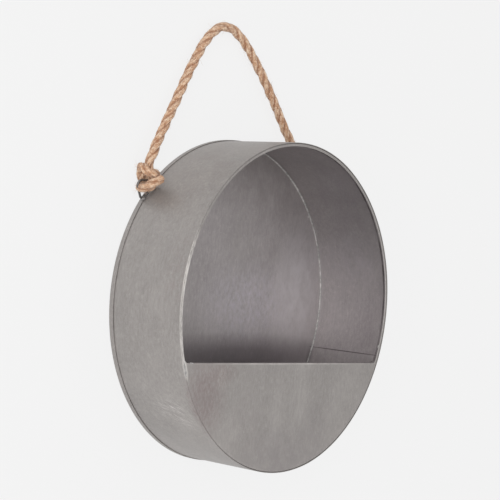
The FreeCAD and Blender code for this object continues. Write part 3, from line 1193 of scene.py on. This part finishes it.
# ------------------------------------------------------------------------------ drum
@dataclass
class Drum:
    """The planter's body: back plate, band with its lap, front panel and the solder between them."""

    band_radius: float = 180.0 * MM
    depth: float = 100.0 * MM
    sheet: float = 0.8 * MM
    fit: float = 0.15 * MM
    flange_depth: float = 6.0 * MM
    bend: float = 1.2 * MM
    standoff: float = 0.5 * MM
    panel_top: float = -60.0 * MM
    lip: float = 4.2 * MM
    corner: float = 6.0 * MM
    hem_depth: float = 3.5 * MM
    hem_roll: float = 0.7 * MM
    rim_depth: float = 6.0 * MM
    seam_angle: float = -16.8
    seam_lap: float = 20.0 * MM
    seam_relief: float = 1.0 * MM
    solder_leg: float = 1.6 * MM
    ease: float = 0.1 * MM
    dent: float = 45 * MM
    steps: int = 360
    face_steps: int = 26

    def lathe(self, name: str, section: np.ndarray, radial: Ripple | None = None) -> Piece:
        """Turn a closed section all the way round the drum's axis.

        Args:
            name: Name of the piece.
            section: Points of (radius, depth from the wall), without the first one again.
            radial: Unevenness of the radius.

        Returns:
            The piece.
        """
        closed = np.vstack([section, section[:1]])
        radius, depth = closed[None, :, 0], closed[None, :, 1]
        angle = self.full_turn()[:, None]
        if radial is not None:
            share = np.clip(radius / self.band_radius, 0, 1)
            radius = radius + radial.at(angle, depth / self.dent) * share
        return surface(name, turned(radius, depth, angle))

    def full_turn(self) -> np.ndarray:
        """Angles all the way round."""
        return np.linspace(0, FULL_TURN, self.steps + 1)

    def back_plate(self) -> Piece:
        """Disc on the wall with its edge bent forward round the band."""
        outer = self.band_radius + self.fit + self.sheet
        inner = self.band_radius + self.fit
        centre = (outer - self.bend, self.bend)
        flat, ease, edge = centre[0] - 1 * MM, self.ease, self.flange_depth
        section = np.vstack([
            run((0, 0), (flat, 0), 30),
            arc(centre, self.bend, -90, 0),
            [(outer, edge - ease), (outer - ease, edge), (inner + ease, edge), (inner, edge - ease)],
            arc(centre, self.bend - self.sheet, 0, -90),
            run((flat, self.sheet), (0, self.sheet), 30),
        ])
        return self.lathe("drum_back", section)

    def band(self) -> Piece:
        """Band between back plate and front panel."""
        inner, outer, ease = self.band_radius - self.sheet, self.band_radius, 0.12 * MM
        rear, front = self.sheet + self.standoff, self.depth
        section = np.vstack([
            [(inner, rear), (outer, rear)],
            run((outer, rear + 1 * MM), (outer, front - ease), 24),
            [(outer - ease, front), (inner + ease, front)],
            run((inner, front - ease), (inner, rear + 1 * MM), 24),
        ])
        return self.lathe("drum_band", section, Ripple(0.10 * MM, (5, 8, 13, 21), 3))

    def lap(self) -> Piece:
        """Inner end of the band, which lies over its other end on the inside."""
        outer = self.band_radius - self.sheet
        inner, ease = outer - self.sheet, 0.15 * MM
        rear = self.sheet + self.solder_leg + self.seam_relief
        front = self.depth - self.rim_depth - self.seam_relief
        section = np.vstack([
            [(outer, rear), (outer, front), (inner + ease, front)],
            run((inner, front - ease), (inner, rear + ease), 12),
            [(inner + ease, rear)],
        ])
        top = math.radians(self.seam_angle)
        turns = np.linspace(top - self.seam_lap / outer, top, 14)
        return self.capped_lathe("band_lap", section, turns)

    def capped_lathe(self, name: str, section: np.ndarray, turns: np.ndarray) -> Piece:
        """Turn a section part of the way, and close both ends to the section's middle.

        Args:
            name: Name of the piece.
            section: Points of (radius, depth from the wall).
            turns: Angles, in radians.

        Returns:
            The piece.
        """
        closed = np.vstack([section, section[:1]])
        middle = np.broadcast_to(section.mean(axis=0), closed.shape)
        rows = np.concatenate([middle[None], np.repeat(closed[None], len(turns), axis=0), middle[None]])
        angle = np.concatenate([turns[:1], turns, turns[-1:]])[:, None]
        return surface(name, turned(rows[..., 0], rows[..., 1], angle))

    def opening_edge(self) -> tuple[np.ndarray, np.ndarray, np.ndarray]:
        """Edge of the D-shaped opening and the rim point that goes with each of its points.

        The edge is a long arc over the top, a small arc at each lower corner and a straight run
        between them. The rim's angle follows the long arc, and then the edge's length.

        Returns:
            Points (x, z) of the edge, its normals away from the opening, and angles on the rim.
        """
        radius = self.band_radius - self.lip
        level = self.panel_top + self.corner
        across = math.sqrt((radius - self.corner) ** 2 - level ** 2)
        tangent = math.degrees(math.atan2(level, across))
        top = arc((0, 0), radius, tangent, 180 - tangent, 281)
        left = arc((-across, level), self.corner, 180 - tangent, 270, 12)[1:]
        floor = run((-across, self.panel_top), (across, self.panel_top), 100)[1:]
        right = arc((across, level), self.corner, 270, 360 + tangent, 12)[1:]
        edge = np.vstack([top, left, floor, right])
        normals = np.vstack([
            top / radius, (left - (-across, level)) / self.corner,
            np.broadcast_to((0.0, -1.0), floor.shape), (right - (across, level)) / self.corner,
        ])
        lower = np.vstack([top[-1:], left, floor, right])
        walked = np.concatenate([[0], np.cumsum(np.linalg.norm(np.diff(lower, axis=0), axis=1))])
        sweep = 180 + 2 * tangent
        rim = np.concatenate([
            np.linspace(tangent, 180 - tangent, 281), 180 - tangent + sweep * (walked / walked[-1])[1:],
        ])
        return edge, normals, np.radians(rim)

    def front_panel(self) -> Piece:
        """Front sheet with its D-shaped opening.

        The surface goes round the opening in one direction, and in the other round the sheet's
        section: the turned edge of the opening, the face, the rim turned back, and the same behind.
        Near the opening a point is the edge moved along its normal, near the rim it is the rim
        moved inwards, and between the two it is spaced evenly.

        Returns:
            The piece.
        """
        edge, normals, rim_angle = self.opening_edge()
        rim_radius = self.band_radius - self.sheet - self.fit
        outward = np.column_stack([np.cos(rim_angle), np.sin(rim_angle)])
        rim = outward * rim_radius
        front, back = self.depth, self.depth - self.sheet
        hem_rear, rim_rear = self.depth - self.hem_depth, self.depth - self.rim_depth
        roll, inner_roll = self.hem_roll, 0.15 * MM
        bend, inner_bend, ease = self.bend, self.bend - self.sheet, self.ease

        hem_front = np.vstack([
            [(ease, hem_rear), (0, hem_rear + ease)],
            arc((roll, front - roll), roll, 180, 90, 6),
        ])
        rim_front = np.vstack([
            arc((-bend, front - bend), bend, 90, 0, 6),
            [(0, rim_rear + ease), (-ease, rim_rear)],
        ])
        rim_back = np.vstack([
            [(-self.sheet + ease, rim_rear), (-self.sheet, rim_rear + ease)],
            arc((-bend, front - bend), inner_bend, 0, 90, 4),
        ])
        hem_back = np.vstack([
            arc((self.sheet + inner_roll, back - inner_roll), inner_roll, 90, 180, 4),
            [(self.sheet, hem_rear + ease), (self.sheet - ease, hem_rear)],
        ])

        def from_edge(profile: np.ndarray) -> tuple[np.ndarray, np.ndarray]:
            """Plane points and depths of a profile measured from the opening's edge."""
            return edge[:, None] + normals[:, None] * profile[None, :, :1], profile[:, 1]

        def from_rim(profile: np.ndarray) -> tuple[np.ndarray, np.ndarray]:
            """Plane points and depths of a profile measured from the rim."""
            return rim[:, None] + outward[:, None] * profile[None, :, :1], profile[:, 1]

        def between(first: tuple, second: tuple, depth: float) -> tuple[np.ndarray, np.ndarray]:
            """Plane points spaced evenly from one profile's last to another's first, at one depth."""
            share = np.linspace(0, 1, self.face_steps + 2)[1:-1][None, :, None]
            points = first[0][:, -1:] * (1 - share) + second[0][:, :1] * share
            return points, np.full(self.face_steps, depth)

        pieces = [from_edge(hem_front), from_rim(rim_front), from_rim(rim_back), from_edge(hem_back)]
        face = between(pieces[0], pieces[1], front)
        behind = between(pieces[2], pieces[3], back)
        rows = [pieces[0], face, pieces[1], pieces[2], behind, pieces[3]]
        plane = np.concatenate([points for points, _ in rows], axis=1)
        depth = np.broadcast_to(np.concatenate([depths for _, depths in rows]), plane.shape[:2])

        inside = 1 - np.linalg.norm(plane, axis=2) / rim_radius
        dents = Ripple(0.25 * MM, (2, 3, 5, 7), 5).at(plane[..., 0] / 0.05, plane[..., 1] / 0.04)
        depth = depth + dents * smooth_step(inside * 8)
        grid = np.stack([plane[..., 0], -depth, plane[..., 1]], axis=-1)
        grid = np.concatenate([grid, grid[:, :1]], axis=1)
        return surface("drum_front", np.concatenate([grid, grid[:1]]))

    def back_seam(self) -> Piece:
        """Uneven hollow fillet of solder in the inner rear corner."""
        turns = self.full_turn()
        outer, rear = self.band_radius - self.sheet - self.fit, self.sheet
        leg = self.solder_leg * (0.8 + Ripple(0.16, (7, 19, 43, 71), 8).at(turns, np.zeros_like(turns)))
        profile = np.array([
            (0, 0), (0, 0.5), (0, 1), (0.12, 0.99), (0.2, 0.7),
            (0.36, 0.36), (0.7, 0.2), (0.99, 0.12), (1, 0), (0, 0),
        ])
        radius = outer - leg[:, None] * profile[None, :, 0]
        depth = rear + leg[:, None] * profile[None, :, 1]
        return surface("back_seam", turned(radius, depth, turns[:, None]))

    def build(self, zinc: Material, solder: Material) -> None:
        """Make and dress the drum's pieces.

        Args:
            zinc: Material of the sheet.
            solder: Material of the solder.
        """
        sheets = {
            "back_plate": self.back_plate(),
            "rim_band": self.band(),
            "front_panel": self.front_panel(),
        }
        for node, piece in sheets.items():
            dress(piece, zinc, Body.DRUM)
            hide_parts(node)
        lap = self.lap()
        dress(lap, zinc, Body.DRUM)
        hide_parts("rim_band")
        seam = self.back_seam()
        dress(seam, solder, Body.DRUM)
        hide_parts("back_seam_solder")


# ------------------------------------------------------------------------------ rings
@dataclass
class WireRings:
    """The two leaning wire rings and the beads of solder that hold them."""

    wire: float = 2.6 * MM
    angle: float = 34.5
    seat_depth: float = 5.0 * MM
    height: float = 19.8 * MM
    lean: float = 21.4
    foot_radius: float = 182.5 * MM
    solder: float = 2.9 * MM
    corners: tuple = (
        (-0.0016, -0.0012, 0.0025),
        (0.0143, 0.0198, 0.0030),
        (-0.0139, 0.0198, 0.0040),
        (-0.0139, 0.0130, 0.0060),
    )

    def foot(self, side: Side) -> np.ndarray:
        """Middle of the wire at a ring's foot."""
        angle = math.radians(self.angle)
        across, up = self.foot_radius * math.cos(angle), self.foot_radius * math.sin(angle)
        return np.array([side.value * across, -self.seat_depth, up])

    def outline(self) -> np.ndarray:
        """Middle of the wire in the ring's own plane: straight runs and an arc at each corner.

        An arc starts and ends its radius times the tangent of half the turn before and after its
        corner. Its points are worked out from its centre.

        Returns:
            Points (inboard, along the ring), the first one again at the end.
        """
        table = np.array(self.corners)
        points, radii = table[:, :2], table[:, 2:]
        arriving = points - np.roll(points, 1, axis=0)
        arriving /= np.linalg.norm(arriving, axis=1, keepdims=True)
        leaving = np.roll(arriving, -1, axis=0)
        half = np.arccos(np.clip((arriving * leaving).sum(axis=1), -1, 1))[:, None] / 2
        start = points - arriving * radii * np.tan(half)
        inward = leaving - arriving
        inward /= np.linalg.norm(inward, axis=1, keepdims=True)
        centre = points + inward * radii / np.cos(half)
        share = np.linspace(0, 1, 9)[None, :, None]
        spoke = start - centre
        turn = np.sign(np.cross(arriving, leaving))[:, None, None] * 2 * half[:, :, None] * share
        turned = np.concatenate([
            spoke[:, None, :1] * np.cos(turn) - spoke[:, None, 1:] * np.sin(turn),
            spoke[:, None, :1] * np.sin(turn) + spoke[:, None, 1:] * np.cos(turn),
        ], axis=2)
        arcs = (centre[:, None] + turned).reshape(-1, 2)
        return np.vstack([arcs, arcs[:1]])

    def ring(self, side: Side) -> Piece:
        """One wire ring: a circle carried round the outline, square to it."""
        lean = math.radians(self.lean)
        up = np.array([0, -math.sin(lean), math.cos(lean)])
        inboard = np.array([-side.value, 0.0, 0.0])
        normal = np.cross(inboard, up)
        outline = self.outline()
        middle = self.foot(side) + outline[:, :1] * inboard + outline[:, 1:] * up
        along = np.roll(middle[:-1], -1, axis=0) - np.roll(middle[:-1], 1, axis=0)
        along = np.vstack([along, along[:1]])
        along /= np.linalg.norm(along, axis=1, keepdims=True)
        beside = np.cross(along, normal)
        angle = np.linspace(0, FULL_TURN, 17)[None, :, None]
        circle = np.cos(angle) * normal + np.sin(angle) * beside[:, None]
        return surface(f"ring_{side.name.lower()}", middle[:, None] + self.wire / 2 * circle)

    def bead(self, side: Side) -> Piece:
        """Lumpy bead of solder at a ring's foot: a ball with a wavy radius, flat against the drum."""
        foot = self.foot(side)
        outward = np.array([foot[0], 0, foot[2]]) / np.linalg.norm(foot[[0, 2]])
        centre = foot - outward * self.wire / 2
        upright = np.eye(3)[[2, 0, 1]]
        ball = lump(self.solder * upright, Ripple(0.07, (2, 3, 5), 4), (19, 33))
        height = ball @ outward
        ball = ball - np.minimum(height + 0.2 * MM, 0)[..., None] * outward
        return surface(f"bead_{side.name.lower()}", centre + ball)

    def build(self, wire: Material, solder: Material) -> None:
        """Make and dress both rings and their beads.

        Args:
            wire: Material of the rings.
            solder: Material of the beads.
        """
        rings = joined("rings", [self.ring(side) for side in Side])
        dress(rings, wire, Body.DRUM)
        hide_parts("wire_rings")
        beads = joined("ring_beads", [self.bead(side) for side in Side])
        dress(beads, solder, Body.DRUM)
        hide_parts("ring_solder")


@dataclass
class SolderDrops:
    """Small drops of solder left on the sheet: middle, direction, half sizes along, beside and out."""

    drops: tuple = (
        ((-0.1653, -0.1000, -0.0665), (0.37, 0.0, -0.93), (8.5, 1.6, 0.5)),
        ((0.1418, -0.0008, 0.1058), (0.0, 0.0, 1.0), (1.7, 1.4, 0.6)),
        ((0.1706, -0.0990, -0.0404), (0.2, 0.0, 1.0), (2.0, 1.0, 1.3)),
        ((-0.1560, -0.1000, -0.0602), (1.0, 0.0, -0.1), (3.0, 0.9, 0.4)),
    )

    def drop(self, number: int) -> Piece:
        """One drop: a ball with a wavy radius, stretched by its three half sizes.

        Args:
            number: Which drop.

        Returns:
            The drop.
        """
        middle, along, sizes = self.drops[number]
        first = np.array(along) / np.linalg.norm(along)
        out = np.array([0.0, -1.0, 0.0])
        axes = np.array([first, np.cross(out, first), out]) * np.array(sizes)[:, None] * MM
        ball = lump(axes, Ripple(0.1, (2, 3), 20 + number), (15, 25))
        return surface(f"drop_{number}", np.array(middle) + ball)

    def build(self, solder: Material) -> None:
        """Make and dress the drops as one piece.

        Args:
            solder: Their material.
        """
        drops = joined("solder_drops", [self.drop(number) for number in range(len(self.drops))])
        dress(drops, solder, Body.DRUM)


def main() -> None:
    """Build the planter and its room."""
    logging.basicConfig(level=logging.INFO, format="%(message)s")
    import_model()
    PhotoCamera().build()
    HangingRope().build(JuteFinish().material("jute"))
    weather = Weathering().effect()
    solder = SOLDER.material("solder", weather)
    Drum().build(ZincFinish().material("zinc", weather), solder)
    beads = BEAD_SOLDER.material("bead_solder", weather)
    WireRings().build(WIRE.material("wire", weather), beads)
    SolderDrops().build(solder)
    Room().build()


if __name__ == "__main__":
    main()
